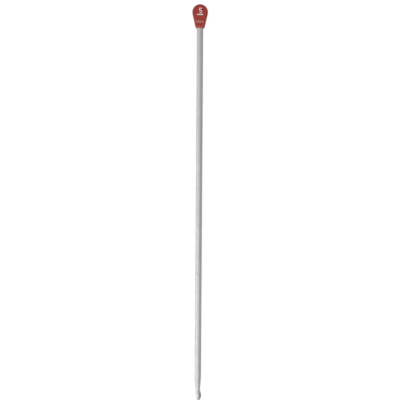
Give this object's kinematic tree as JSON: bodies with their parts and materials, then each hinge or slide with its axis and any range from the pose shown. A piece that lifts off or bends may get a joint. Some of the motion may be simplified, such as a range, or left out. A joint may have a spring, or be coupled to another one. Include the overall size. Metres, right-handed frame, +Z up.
{
  "type": "tunisian crochet hook",
  "caption": "Long straight metal crochet hook for Tunisian crochet, with a flat teardrop plastic stopper head that shows the size.",
  "frame": {"origin": "on the surface that the hook lies on, under the middle of its box", "axes": "+X along the rod from the tip of the hook to the stopper head, +Z up out of the printed face, the hook's mouth towards -Y and turned 30 degrees up"},
  "size_m": [0.3063, 0.012, 0.0071],
  "materials": {
    "rod_coating": "aluminium with a satin pearl-grey coating",
    "head_plastic": "glossy moulded red plastic",
    "white_foil": "white pigment foil, hot stamped"
  },
  "bodies": {
    "root": {"hook_rod": "rod_coating", "stopper_head": "head_plastic", "size_numeral": "white_foil", "size_bar": "white_foil", "left_ticks": "white_foil", "right_ticks": "white_foil"}
  },
  "joints": []
}
